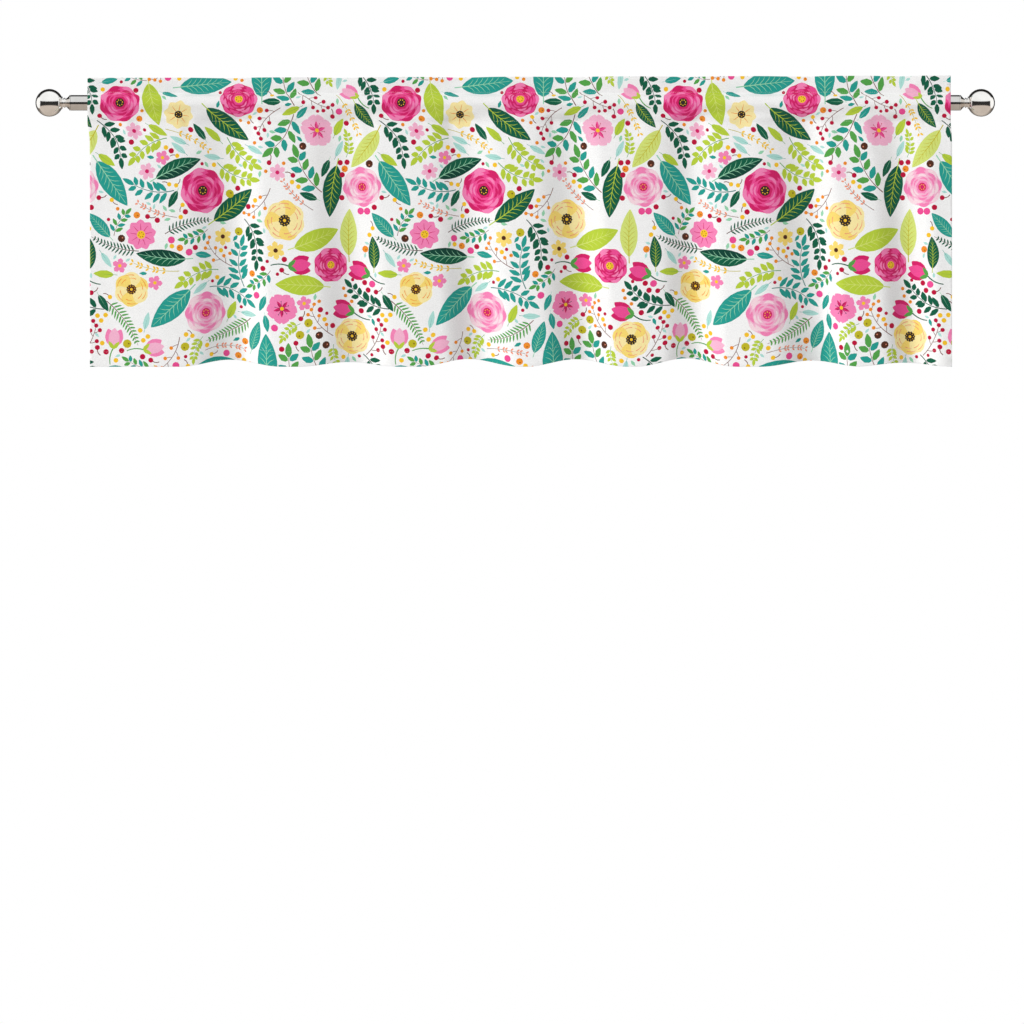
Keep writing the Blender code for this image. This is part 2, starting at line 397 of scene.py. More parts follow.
def blossom(colour, shade, heart, tips):
    """A five-petalled blossom of radius 1 with a notch in each petal, and stamens."""
    shapes = []
    for index in range(5):
        turn = np.exp(2j * np.pi * index / 5)
        shapes.append((turn * petal(1.0, 0.98, 1.45, 9, 0.13), colour))
        shapes.append((turn * petal(0.55, 0.22, 0.7, 4), shade))
    for index in range(10):
        turn = np.exp(2j * np.pi * (index + 0.25) / 10)
        reach = 0.36 + 0.08 * (index % 2)
        shapes.append((stroke(turn * np.array([0.08, reach]), 0.022), tips))
        shapes.append((turn * reach + ring(0.032, count=5), tips))
    shapes.append((ring(0.12, count=10), heart))
    return shapes


def bud(colour, shade, cup, stem):
    """A closed bud of length 1 on a short curved stem, cupped by two sepals."""
    shapes = [(stroke(curve(-0.85 + 0.12j, 0j, 0.10, 5), 0.045, 0.06), stem)]
    for lean, tone in ((0.33, shade), (-0.33, shade), (0.0, colour)):
        shapes.append((np.exp(1j * lean) * petal(1.0, 0.56, 1.0, 7), tone))
    for lean in (0.62, -0.62):
        shapes.append((np.exp(1j * lean) * petal(0.46, 0.20, 0.8, 5) - 0.05, cup))
    return shapes


def leaf(colour, vein, width=0.42, veins=6, bend=0.0, half=None):
    """A broad pointed leaf of length 1 with a midrib and side veins. Half is the colour of one
    side of the blade, where it differs."""
    outline = petal(1.0, width, 0.85, 10)
    shapes = [(outline, colour)]
    if half:
        shapes.append((np.concatenate([outline[:11], np.linspace(1, 0, 4)[1:-1] + 0j]), half))
    shapes.append((stroke(np.linspace(-0.14, 0.94, 5) + 0j, 0.022, 0.006), vein))
    for index in range(veins):
        root = 0.12 + 0.70 * index / veins
        reach = width / 2 * math.sin(math.pi * min(root + 0.12, 1) ** 0.85) ** 0.8 * 0.82
        for side in (1, -1):
            tip = root + 0.13 + 1j * side * reach
            bow = root + 0.075 + 1j * side * reach * 0.44
            shapes.append((np.array([root, bow + 0.006, tip, bow - 0.009, root - 0.016]), vein))
    bow = [points + 1j * bend * (points.real**2 - points.real) for points, tone in shapes]
    return [(points, tone) for points, (_, tone) in zip(bow, shapes)]


def fern(colour, stem, pairs=13, width=0.36):
    """A frond of length 1: narrow leaflets in pairs, shorter towards its tip."""
    line = curve(0j, 1 + 0j, 0.07, 8)
    shapes = [(stroke(line, 0.016, 0.006), stem)]
    for index in range(pairs):
        share = 0.10 + 0.88 * index / pairs
        root = np.interp(share * 8, np.arange(9), line)
        heading = heading_at(line, min(int(share * 8), 7))
        length = width / 2 * (1.15 - share) ** 0.7 * min(1, 0.55 + share * 2.2)
        for side in (1.02, -1.02):
            leaflet = root + heading * np.exp(1j * side) * petal(length, 0.038, 0.8, 3)
            shapes.append((leaflet, colour))
    return shapes


def sprig(colour, stem, pairs=4, leaf_length=0.30, leaf_width=0.13, bow=0.10, ends=None):
    """A twig of length 1 with pairs of small oval leaves and one at its tip."""
    line = curve(0j, 0.80 + 0j, bow, 12)
    shapes = [(stroke(line, 0.018, 0.010), stem)]
    for index in range(pairs):
        at = 2 + round(9 * index / (pairs - 1))
        for side in (1, -1):
            blade = petal(leaf_length * (1 - 0.08 * index), leaf_width, 0.85, 4)
            turn = heading_at(line, at) * np.exp(1j * side * (0.85 + 0.1 * (index % 2)))
            tone = ends if ends and (index + (side > 0)) % 2 else colour
            shapes.append((line[at] + turn * (0.02 + blade), tone))
    tip = petal(leaf_length, leaf_width, 0.85, 5)
    shapes.append((line[-1] + heading_at(line, -1) * tip, colour))
    return shapes


def berry_twig(stem, berry, count=6, size=0.055, bow=-0.08):
    """A twig of length 1 that forks to round berries."""
    line = curve(0j, 0.92 + 0j, bow, 10)
    shapes = [(stroke(line, 0.020, 0.012), stem)]
    for index in range(count):
        at = 2 + round(8 * index / (count - 1))
        side = 1 if index % 2 else -1
        reach = 0.20 - 0.012 * index
        tip = line[at] + heading_at(line, at) * np.exp(0.8j * side) * reach
        shapes.append((stroke(curve(line[at], tip, 0.08 * side, 3), 0.014), stem))
        shapes.append((tip + ring(size, count=8), berry))
    shapes.append((line[-1] + ring(size, count=8), berry))
    return shapes


def seed_spike(stem, seed, pairs=7):
    """A thin stalk of length 1 with small seeds in pairs."""
    line = curve(0j, 1 + 0j, 0.06, 14)
    shapes = [(stroke(line, 0.014, 0.008), stem)]
    for index in range(pairs):
        at = 4 + round(10 * index / (pairs - 1))
        for side in (0.75, -0.75):
            turn = heading_at(line, at) * np.exp(1j * side)
            shapes.append((line[at] + turn * (0.015 + petal(0.085, 0.052, 0.9, 3)), seed))
    return shapes


def berry(colour, eye=None):
    """A round berry of radius 1, with a withered flower at its end where it has an eye."""
    shapes = [(ring(1.0, count=9), colour)]
    if eye:
        shapes.append((0.25 - 0.2j + ring(0.2, 4, 0.5, 8), eye))
    return shapes


def stalked_berry(colour, stem):
    """A berry of radius 1 at the end of a bent stalk."""
    shapes = [(stroke(curve(-3.2 - 0.8j, -0.4 + 0j, 0.16, 3), 0.34), stem)]
    return shapes + berry(colour)


def drop_shape(colour):
    """A plain brushed drop, 2 long."""
    return [(petal(2.0, 1.0, 1.3, 4) - 1, colour)]


def small_leaf(colour, vein, width=0.40):
    """A plain leaf of length 1 with a midrib alone."""
    midrib = np.array([-0.18 - 0.012j, 0.80, -0.18 + 0.012j])
    return [(petal(1.0, width, 0.85, 5), colour), (midrib, vein)]


def star_flower(petals, colour, heart):
    """A tiny flower of radius 1: pointed petals round a dot."""
    blade = petal(1.0, 4.4 / petals, 1.1, 3)
    shapes = [(np.exp(2j * np.pi * index / petals) * blade, colour) for index in range(petals)]
    return shapes + [(ring(0.24, count=8), heart)]


MOTIFS = {
    "pink_rose": full_rose("hot_pink", "deep_rose", "rose", "ink", "gold"),
    "blush_rose": full_rose("blush", "rose", "pale_blush", "deep_rose", "gold"),
    "magenta_rose": full_rose("deep_rose", "hot_pink", "rose", "gold", "ink"),
    "yellow_anemone": anemone(7, "sun", "butter", "coral", "ink", "gold"),
    "peach_anemone": anemone(6, "butter", "sun", "orange", "bark", "gold"),
    "pink_daisy": daisy(9, "rose", "deep_rose", "gold", "bark"),
    "cream_daisy": daisy(8, "butter", "orange", "ink", "gold"),
    "pale_blossom": blossom("blush", "hot_pink", "gold", "crimson"),
    "rose_blossom": blossom("rose", "deep_rose", "gold", "ink"),
    "pink_bud": bud("hot_pink", "deep_rose", "leaf_green", "forest"),
    "blush_bud": bud("blush", "rose", "lime", "leaf_green"),
    "teal_leaf": leaf("teal", "mint", 0.40, 7),
    "forest_leaf": leaf("forest", "lime", 0.38, 7, 0.10),
    "bottle_leaf": leaf("bottle", "mint", 0.34, 6, -0.12, "forest"),
    "lime_leaf": leaf("lime", "pale_lime", 0.42, 6, 0.08),
    "pale_leaf": leaf("pale_lime", "olive", 0.38, 7, -0.06),
    "green_fern": fern("leaf_green", "twig"),
    "forest_fern": fern("forest", "bark", 12, 0.32),
    "teal_sprig": sprig("teal", "deep_teal", 5, 0.26, 0.10),
    "forest_sprig": sprig("forest", "bottle", 6, 0.22, 0.10, 0.12),
    "lime_sprig": sprig("lime", "leaf_green", 5, 0.24, 0.12, -0.10),
    "mixed_sprig": sprig("leaf_green", "twig", 4, 0.28, 0.13, 0.08, "teal"),
    "wine_twig": berry_twig("twig", "crimson"),
    "orange_twig": berry_twig("twig", "orange", 5, 0.05, 0.1),
    "gold_spike": seed_spike("olive", "gold"),
    "coral_spike": seed_spike("twig", "coral"),
    "pale_star": star_flower(6, "blush", "deep_rose"),
    "rose_star": star_flower(5, "rose", "gold"),
    "butter_star": star_flower(6, "sun", "bark"),
    "small_forest_leaf": small_leaf("forest", "mint"),
    "small_teal_leaf": small_leaf("teal", "aqua"),
    "small_lime_leaf": small_leaf("lime", "leaf_green"),
    "small_mint_leaf": small_leaf("aqua", "teal", 0.34),
    "wine_stalk": stalked_berry("crimson", "twig"),
    "gold_stalk": stalked_berry("gold", "twig"),
    "wine_berry": berry("crimson"),
    "olive_berry": berry("olive", "bark"),
    "pink_berry": berry("hot_pink"),
    "gold_berry": berry("gold"),
    "orange_berry": berry("orange", "bark"),
    "brown_berry": berry("bark", "coral"),
    "aqua_drop": drop_shape("aqua"),
    "mint_drop": drop_shape("mint"),
    "teal_drop": drop_shape("teal"),
}

# Flowers are laid first, as listed: motif, place in the repeat, radius and turn.
FLOWERS = (
    ("pink_rose", 62, 92, 39, 0.2),
    ("yellow_anemone", 196, 46, 33, 0.5),
    ("blush_rose", 322, 98, 34, 0.9),
    ("magenta_rose", 128, 238, 33, 0.0),
    ("pale_blossom", 252, 186, 27, 0.3),
    ("pink_rose", 392, 232, 36, 1.1),
    ("yellow_anemone", 300, 318, 30, 0.1),
    ("blush_rose", 62, 356, 36, 0.7),
    ("rose_blossom", 190, 366, 25, 0.9),
    ("pink_daisy", 420, 24, 24, 0.2),
    ("cream_daisy", 30, 212, 24, 0.6),
    ("peach_anemone", 404, 396, 28, 0.4),
    ("magenta_rose", 268, 432, 30, 0.4),
)

# The rest fills the room between them, in this order: motif, size and count.
FILLERS = (
    ("teal_leaf", 84, 4),
    ("forest_leaf", 82, 3),
    ("lime_leaf", 76, 3),
    ("bottle_leaf", 78, 2),
    ("pale_leaf", 74, 2),
    ("green_fern", 84, 2),
    ("forest_fern", 78, 2),
    ("teal_sprig", 80, 3),
    ("pink_bud", 34, 3),
    ("forest_sprig", 84, 4),
    ("blush_bud", 31, 3),
    ("mixed_sprig", 82, 4),
    ("lime_sprig", 74, 4),
    ("wine_twig", 62, 3),
    ("orange_twig", 60, 4),
    ("gold_spike", 72, 3),
    ("coral_spike", 64, 3),
    ("forest_leaf", 50, 2),
    ("teal_leaf", 50, 2),
    ("mixed_sprig", 48, 4),
    ("lime_sprig", 44, 4),
    ("butter_star", 15, 2),
    ("pale_star", 14, 3),
    ("rose_star", 12, 4),
    ("small_forest_leaf", 30, 6),
    ("small_lime_leaf", 32, 8),
    ("small_teal_leaf", 27, 6),
    ("small_mint_leaf", 28, 10),
    ("olive_berry", 6.8, 6),
    ("brown_berry", 6.0, 5),
    ("orange_berry", 5.4, 9),
    ("pink_berry", 5.6, 10),
    ("wine_stalk", 4.0, 12),
    ("gold_stalk", 3.6, 12),
    ("wine_berry", 4.4, 26),
    ("gold_berry", 3.8, 24),
    ("teal_drop", 6.0, 8),
    ("mint_drop", 5.4, 16),
    ("aqua_drop", 4.4, 26),
    ("orange_berry", 3.0, 14),
    ("wine_berry", 2.8, 16),
)

LAYING_SEED = 11
LAYING_CELLS = 240
LAYING_CELL = REPEAT / LAYING_CELLS
LAYING_TRIES = 500
MOTIF_GAP = 2.2
CROWD_REACH = 11.0
MOST_OVERLAP = 0.02
OVERLAP_PENALTY = 10000.0
TAKEN_SPACING, TRIED_SPACING = 1.6, 3.0


def spots(shapes, spacing):
    """Points spread over a motif, for finding where it fits."""
    points = []
    for outline, _ in shapes:
        middle = outline.mean()
        points += [middle + (outline - middle) * share for share in (1.0, 0.66, 0.33, 0.0)]
    return np.unique(np.round(np.concatenate(points) / spacing)) * spacing


def laying_cells(points):
    column = np.floor(points.real / LAYING_CELL).astype(int) % LAYING_CELLS
    row = np.floor(points.imag / LAYING_CELL).astype(int) % LAYING_CELLS
    return column, row


def near(taken, radius):
    """How many taken cells lie within a radius of each cell, across the repeat's edges too."""
    axis = np.minimum(np.arange(LAYING_CELLS), LAYING_CELLS - np.arange(LAYING_CELLS)) * LAYING_CELL
    disc = np.hypot(axis[:, None], axis[None, :]) <= radius
    return np.real(np.fft.ifft2(np.fft.fft2(taken) * np.fft.fft2(disc.astype(float))))


def lay_out_repeat():
    """The repeat's shapes: the flowers as placed, and each filler where it fits most closely."""
    random = np.random.default_rng(LAYING_SEED)
    taken = np.zeros((LAYING_CELLS, LAYING_CELLS))
    laid = []

    def lay(motif, place, turn, size):
        shapes = MOTIFS[motif]
        laid.extend((place + turn * size * outline, colour) for outline, colour in shapes)
        taken[laying_cells(place + turn * size * spots(shapes, TAKEN_SPACING / size))] = 1

    for motif, x, y, size, angle in FLOWERS:
        lay(motif, complex(x, y), np.exp(1j * angle), size)
    for motif, size, count in FILLERS:
        body = spots(MOTIFS[motif], TRIED_SPACING / size) * size
        for _ in range(count):
            blocked = near(taken, MOTIF_GAP) > 0.5
            crowd = near(taken, CROWD_REACH)
            places = (random.random(LAYING_TRIES) + 1j * random.random(LAYING_TRIES)) * REPEAT
            turns = np.exp(2j * np.pi * random.random(LAYING_TRIES))
            tried = laying_cells(places[:, None] + turns[:, None] * (body - body.mean())[None, :])
            hits = blocked[tried].mean(axis=1)
            best = np.argmax(crowd[tried].mean(axis=1) - OVERLAP_PENALTY * hits)
            if hits[best] < MOST_OVERLAP:
                lay(motif, places[best] - turns[best] * body.mean(), turns[best], size)
    return laid


# Valance cloth
# One length of thin woven polyester, printed face to the room. Its side edges and lower edge are
# turned to the reverse and sewn, and its top is folded over to the back and sewn down twice, above
# and below the rod, for a standing heading and the rod's pocket.

CLOTH_THICKNESS = 0.00045
FINISHED_WIDTH = 1.400
SIDE_HEM = 0.013
SIDE_TURN_RADIUS = 0.00027
HALF_SPACING = 0.0008
HEADING_TOP_LEFT, HEADING_TOP_RIGHT = 0.0386, 0.0424
HEADING_TOP = (HEADING_TOP_LEFT + HEADING_TOP_RIGHT) / 2
POCKET_SEAM = -0.0285
SEAM_TAIL = 0.003
HEM_EDGE = -0.4100
HEM_TURN_UP = 0.025
NECK_FILLET = 0.004
HUG_RADIUS = 0.0131
POCKET_LEFT, POCKET_RIGHT = -0.6641, 0.6762
DROP_LEFT, DROP_RIGHT = -0.6603, 0.6782
EDGE_EASE = 1 / 12

# Each trough between the cloth's ridges: where it lies along the rod at the seam and at the hem,
# how deep it is there, how far its left and right walls reach, how much it lifts the hem, and how
# far the ridge on its right swells forward
FOLD_COLUMNS = ("seam_x", "hem_x", "depth", "left_reach", "right_reach", "hem_lift", "swell")
FOLDS = [
    dict(zip(FOLD_COLUMNS, row))
    for row in (
        (-0.4414, -0.4243, 0.0250, 0.080, 0.048, 0.0110, 0.006),
        (-0.2679, -0.2400, 0.0180, 0.064, 0.052, 0.0073, 0.005),
        (-0.0820, -0.0541, 0.0220, 0.056, 0.060, 0.0120, 0.006),
        (0.0884, 0.1132, 0.0250, 0.066, 0.046, 0.0117, 0.005),
        (0.2712, 0.2836, 0.0200, 0.054, 0.048, 0.0130, 0.007),
        (0.4509, 0.4787, 0.0270, 0.078, 0.044, 0.0097, 0.004),
        (0.5949, 0.6212, 0.0200, 0.048, 0.050, 0.0062, 0.003),
    )
]
LEFT_EDGE_SWELL = 0.006
RIDGE_FORWARD = 0.009
LIFT_OFFSET, LIFT_REACH = -0.018, 0.080
SEAM_SHARE, HEADING_SHARE = 0.34, 0.12
HEADING_EASE = 0.020
FOLD_GROWTH = 0.85
HEADING_DIP = 0.0012

# Puckers that the pocket's lower seam gathers: place, width and depth
PUCKERS = (
    (-0.626, 0.026, 0.0026),
    (-0.585, 0.022, 0.0024),
    (-0.510, 0.013, 0.0018),
    (-0.409, 0.014, 0.0020),
    (-0.330, 0.020, 0.0016),
    (-0.2256, 0.016, 0.0022),
    (-0.1013, 0.016, 0.0020),
    (-0.020, 0.022, 0.0014),
    (0.0572, 0.014, 0.0020),
    (0.178, 0.030, 0.0028),
    (0.287, 0.018, 0.0021),
    (0.350, 0.020, 0.0016),
    (0.427, 0.018, 0.0022),
    (0.5046, 0.028, 0.0030),
    (0.560, 0.016, 0.0018),
    (0.640, 0.022, 0.0020),
)
PUCKER_ABOVE, PUCKER_BELOW = 0.016, 0.070
PUCKER_LEAN = 0.10
CREASE_EASE = 0.010


def mix(start, end, share):
    return start + (end - start) * share


def smooth_step(value):
    value = np.clip(value, 0, 1)
    return value * value * (3 - 2 * value)


def drop_share(z):
    """0 at the pocket's seam and above it, 1 at the hem."""
    return np.clip((POCKET_SEAM - z) / (POCKET_SEAM - HEM_EDGE), 0, 1)


def edge_x(z):
    share = smooth_step(drop_share(z) / EDGE_EASE)
    return mix(POCKET_LEFT, DROP_LEFT, share), mix(POCKET_RIGHT, DROP_RIGHT, share)


def trough_x(fold, z):
    return mix(fold["seam_x"], fold["hem_x"], drop_share(z))


def bump(distance, reach):
    """1 at no distance, 0 past the reach, and an even wave between."""
    return 0.5 + 0.5 * np.cos(np.pi * np.clip(distance / reach, -1, 1))


def trough_share(fold, x, z):
    distance = x - trough_x(fold, z)
    return bump(distance, np.where(distance > 0, fold["right_reach"], fold["left_reach"]))


def relief(x, z):
    """How far the cloth lies behind the rod's own plane where its folds are fully open."""
    left, right = edge_x(z)
    lines = [left] + [trough_x(fold, z) for fold in FOLDS] + [right]
    swells = [LEFT_EDGE_SWELL] + [fold["swell"] for fold in FOLDS]
    back = sum(fold["depth"] * trough_share(fold, x, z) for fold in FOLDS) - RIDGE_FORWARD
    for start, end, swell in zip(lines, lines[1:], swells):
        back = back - swell * np.sin(np.pi * np.clip((x - start) / (end - start), 0, 1)) ** 2
    return back


def fold_share(z):
    """How much of the folds' relief shows at a height."""
    below = mix(SEAM_SHARE, 1.0, drop_share(z) ** FOLD_GROWTH)
    pocket = SEAM_SHARE * smooth_step((-z - HUG_RADIUS) / (-POCKET_SEAM - HUG_RADIUS))
    above = HEADING_SHARE * smooth_step((z - ROD_RADIUS - NECK_FILLET) / HEADING_EASE)
    return np.where(z < POCKET_SEAM, below, np.where(z < 0, pocket, above))


def creases(x, z):
    """How far the cloth's smaller creases lie behind the folds."""
    back = 0.0
    distance_below = POCKET_SEAM - z
    fade = np.where(
        distance_below > 0,
        bump(distance_below, PUCKER_BELOW) ** 1.5,
        bump(distance_below, PUCKER_ABOVE),
    )
    for place, width, depth in PUCKERS:
        back = back + depth * bump(x - place - PUCKER_LEAN * distance_below, width) * fade
    return back * smooth_step((np.abs(z) - HUG_RADIUS) / CREASE_EASE)


def back_of_rod(x, z):
    """How far behind the rod's plane the cloth's middle hangs."""
    return fold_share(z) * relief(x, z) + creases(x, z)


def hem_lift(x, z):
    """How much higher than its lowest line the hem hangs, which dies out on the way up."""
    lift = sum(
        fold["hem_lift"] * bump(x - trough_x(fold, z) - LIFT_OFFSET, LIFT_REACH) for fold in FOLDS
    )
    return lift * drop_share(z) ** 2


def heading_top(x):
    share = (x - POCKET_LEFT) / (POCKET_RIGHT - POCKET_LEFT)
    dip = np.max([trough_share(fold, x, 0.0) for fold in FOLDS], axis=0)
    return mix(HEADING_TOP_LEFT, HEADING_TOP_RIGHT, share) - HEADING_DIP * dip


def arc(centre, radius, start, end, steps):
    """(offset, height) points of an arc, angles in radians from +offset towards +height."""
    angles = np.linspace(start, end, steps + 1)
    return [(centre[0] + radius * np.cos(a), centre[1] + radius * np.sin(a)) for a in angles]


ROD_STEPS = 36
BEND_STEPS = 10


def section_points():
    """The sheet's section, (offset from its middle plane, height), from the hem's raw end to the
    end of the pocket's back layer, and the names of the places that seams and edges take."""
    fillet_reach = HUG_RADIUS + NECK_FILLET
    neck_height = math.sqrt(fillet_reach**2 - (HALF_SPACING + NECK_FILLET) ** 2)
    from_top = math.asin((HALF_SPACING + NECK_FILLET) / fillet_reach)
    seam_reach = math.hypot(HALF_SPACING, POCKET_SEAM)
    to_seam = math.pi - math.asin(HALF_SPACING / seam_reach) - math.acos(HUG_RADIUS / seam_reach)
    front = [(-HALF_SPACING, HEM_EDGE + HALF_SPACING), (-HALF_SPACING, POCKET_SEAM)]
    front += arc((0, 0), HUG_RADIUS, math.pi / 2 + to_seam, math.pi / 2 + from_top, ROD_STEPS)
    neck = (-HALF_SPACING - NECK_FILLET, neck_height)
    front += arc(neck, NECK_FILLET, -math.pi / 2 + from_top, 0, BEND_STEPS)
    hem = [(HALF_SPACING, HEM_EDGE + HEM_TURN_UP)]
    hem += arc((0, HEM_EDGE + HALF_SPACING), HALF_SPACING, 0, -math.pi, BEND_STEPS)
    top = arc((0, HEADING_TOP - HALF_SPACING), HALF_SPACING, math.pi, 0, BEND_STEPS)
    back = [(-offset, height) for offset, height in front[:0:-1]]
    tail = [(HALF_SPACING, POCKET_SEAM - SEAM_TAIL)]
    points = hem + front[1:] + top + back + tail
    above_rod = len(hem) + 1 + ROD_STEPS
    heading = above_rod + BEND_STEPS + 1
    marks = {
        "hem_fold": 1,
        "drop": len(hem) - 1,
        "pocket_seam": len(hem),
        "rod": len(hem) + 1,
        "neck": above_rod,
        "heading": heading,
        "top_turn": heading + 1,
        "back_heading": heading + 1 + BEND_STEPS,
    }
    return np.array(points), marks, neck_height


SECTION, SECTION_MARKS, NECK_HEIGHT = section_points()
SECTION_STEPS = np.hypot(*np.diff(SECTION, axis=0).T)
SECTION_LENGTH = np.concatenate([[0], np.cumsum(SECTION_STEPS)])
FLAT_LENGTH = SECTION_LENGTH[-1]
FLAT_WIDTH = FINISHED_WIDTH + 2 * (SIDE_HEM + math.pi * SIDE_TURN_RADIUS)
SIDE_BORDER = (FLAT_WIDTH - FINISHED_WIDTH) / 2

TABLE_HEIGHTS = np.linspace(HEM_EDGE, HEADING_TOP, 140)
TABLE_SHARES = np.linspace(0, 1, 800)
MEASURING_STEPS = 2000


def spread_across():
    """Where the cloth's threads hang along the rod, by height and by share of the width. The cloth
    has the same length along its folds at each height, so the folds draw it in unevenly."""
    table = []
    for z in TABLE_HEIGHTS:
        x = np.linspace(*edge_x(z), MEASURING_STEPS)
        steps = np.hypot(np.diff(x), np.diff(back_of_rod(x, z)))
        length = np.concatenate([[0], np.cumsum(steps)])
        table.append(np.interp(TABLE_SHARES, length / length[-1], x))
    return np.array(table)


THREADS = spread_across()


def thread_x(share, z):
    """Reads the table of threads between its rows and columns."""
    row = np.clip((z - HEM_EDGE) / (HEADING_TOP - HEM_EDGE), 0, 1) * (len(TABLE_HEIGHTS) - 1)
    column = np.clip(share, 0, 1) * (len(TABLE_SHARES) - 1)
    low_row = np.minimum(row.astype(int), len(TABLE_HEIGHTS) - 2)
    low_column = np.minimum(column.astype(int), len(TABLE_SHARES) - 2)
    row, column = row - low_row, column - low_column
    lower = mix(THREADS[low_row, low_column], THREADS[low_row, low_column + 1], column)
    upper = mix(THREADS[low_row + 1, low_column], THREADS[low_row + 1, low_column + 1], column)
    return mix(lower, upper, row)


TANGENT_STEP = 0.0003
SLOPE_STEP = 0.0005


def hang(across, along):
    """The places in space of points of the flat sheet's middle surface. Across runs over the cut
    width from 0 at the left finished edge, and along runs up the section, both in metres."""
    offset = np.interp(along, SECTION_LENGTH, SECTION[:, 0])
    height = np.interp(along, SECTION_LENGTH, SECTION[:, 1])
    ahead, behind = along + TANGENT_STEP, along - TANGENT_STEP
    rise = [np.interp(ahead, SECTION_LENGTH, SECTION[:, axis]) for axis in (0, 1)]
    fall = [np.interp(behind, SECTION_LENGTH, SECTION[:, axis]) for axis in (0, 1)]
    tangent = np.array(rise) - np.array(fall)
    tangent = tangent / np.maximum(np.hypot(*tangent), 1e-9)
    # A side hem: past the finished edge the sheet turns to the reverse and runs back inwards.
    past = np.maximum(-across, across - FINISHED_WIDTH)
    side = np.where(across < 0, -1.0, 1.0)
    turn = np.clip(past / SIDE_TURN_RADIUS, 0, math.pi)
    outwards = np.where(past > 0, SIDE_TURN_RADIUS * np.sin(turn), 0)
    reverse = np.where(past > 0, SIDE_TURN_RADIUS * (1 - np.cos(turn)), 0)
    inwards = np.maximum(past - math.pi * SIDE_TURN_RADIUS, 0)
    visible = np.where(across < 0, inwards, np.where(past > 0, FINISHED_WIDTH - inwards, across))
    offset = offset + tangent[1] * reverse
    height = height - tangent[0] * reverse
    x = thread_x(visible / FINISHED_WIDTH, height)
    stretch = (heading_top(x) - NECK_HEIGHT) / (HEADING_TOP - NECK_HEIGHT)
    z = np.where(height > NECK_HEIGHT, NECK_HEIGHT + (height - NECK_HEIGHT) * stretch, height)
    x = x + side * outwards
    slope = back_of_rod(x + SLOPE_STEP, z) - back_of_rod(x - SLOPE_STEP, z)
    slope = slope / (2 * SLOPE_STEP)
    lean = np.hypot(slope, 1)
    return np.stack(
        [
            x - offset * slope / lean,
            back_of_rod(x, z) + offset / lean,
            z + hem_lift(x, z),
        ],
        axis=-1,
    )


def facing(across, along, step=0.0004):
    """The printed face's unit normals, read from the hung sheet on both sides of each point."""
    over = hang(across + step, along) - hang(across - step, along)
    up = hang(across, np.minimum(along + step, FLAT_LENGTH))
    up = up - hang(across, np.maximum(along - step, 0))
    normal = np.cross(over, up)
    return normal / np.linalg.norm(normal, axis=-1, keepdims=True)


# The flat sheet is cut into cells of about 57 mm, each triangulated by itself, because that takes
# far less time than the whole sheet at once.
CELL_COLUMNS, CELL_ROWS = 25, 10
GRID_SPACING = (6.0, 15.2)
CLEAR_OF_OUTLINES = 2.4
WELD = 0.004
STRAIGHT = 0.035
LONGEST_EDGE = (6.0, 15.0)
FLAT_TOLERANCE = 0.0001
MM = 1000.0


def turn_lines(first, last, count):
    """Places along the section where the sheet needs a row of points to go round a bend."""
    start, end = SECTION_LENGTH[SECTION_MARKS[first]], SECTION_LENGTH[SECTION_MARKS[last]]
    return list(np.linspace(start, end, count + 1))


def bend_rows():
    hem = turn_lines("hem_fold", "drop", 3)
    front = turn_lines("pocket_seam", "rod", 6) + turn_lines("rod", "neck", 7)[1:]
    front += turn_lines("neck", "heading", 2)[1:] + turn_lines("heading", "top_turn", 4)[1:-1]
    top = turn_lines("top_turn", "back_heading", 3)
    # The back layer is the front one, seen the other way round from the top.
    back = [top[0] + top[-1] - row for row in front]
    return sorted({round(row, 7) for row in hem + front + top + back})


def edge_columns():
    turn = math.pi * SIDE_TURN_RADIUS
    left = [-turn, -turn * 2 / 3, -turn / 3, 0.0]
    return left + [FINISHED_WIDTH - column for column in left]


BEND_ROWS = bend_rows()
EDGE_COLUMNS = edge_columns()


def height_at(along):
    return np.interp(along / MM, SECTION_LENGTH, SECTION[:, 1])


def cell_grid(low, high):
    """A cell's grid columns and rows, its borders included, the same as its neighbours' there."""
    counts = [max(1, round((high[axis] - low[axis]) / GRID_SPACING[axis])) for axis in (0, 1)]
    return [np.linspace(low[axis], high[axis], counts[axis] + 1) for axis in (0, 1)]


def row_points(columns, along):
    """A bend row's points: none between its ends where the rod holds it straight."""
    height = height_at(along)
    if abs(height) < HUG_RADIUS:
        columns = columns[[0, -1]]
    elif height > 0:
        columns = columns[::2]
    return [(across, along) for across in columns]


def snapped(points, lines, reach):
    """Moves (across, along) points that lie within reach of a cell border onto it."""
    moved = np.array(points, float)
    for axis in (0, 1):
        nearest = lines[axis][np.abs(moved[:, axis, None] - lines[axis]).argmin(axis=1)]
        close = np.abs(moved[:, axis] - nearest) < reach
        moved[:, axis] = np.where(close, nearest, moved[:, axis])
    return moved


def straighten(points, lines, fixed):
    """The lines without the points that they pass nearly straight, other than fixed ones."""
    beside = {}
    for start, end in lines:
        beside.setdefault(start, set()).add(end)
        beside.setdefault(end, set()).add(start)
    for index in [index for index, around in beside.items() if len(around) == 2]:
        start, end = beside[index]
        chord = points[end] - points[start]
        long = abs(chord[0]) > LONGEST_EDGE[0] or abs(chord[1]) > LONGEST_EDGE[1]
        if fixed[index] or long or end in beside[start]:
            continue
        offset = points[index] - points[start]
        if abs(chord[0] * offset[1] - chord[1] * offset[0]) < STRAIGHT * math.hypot(*chord):
            del beside[index]
            beside[start] = beside[start] - {index} | {end}
            beside[end] = beside[end] - {index} | {start}
    return [(start, end) for start, around in beside.items() for end in around if start < end]


def corners_of(low, high):
    return [(low[0], low[1]), (high[0], low[1]), (high[0], high[1]), (low[0], high[1])]


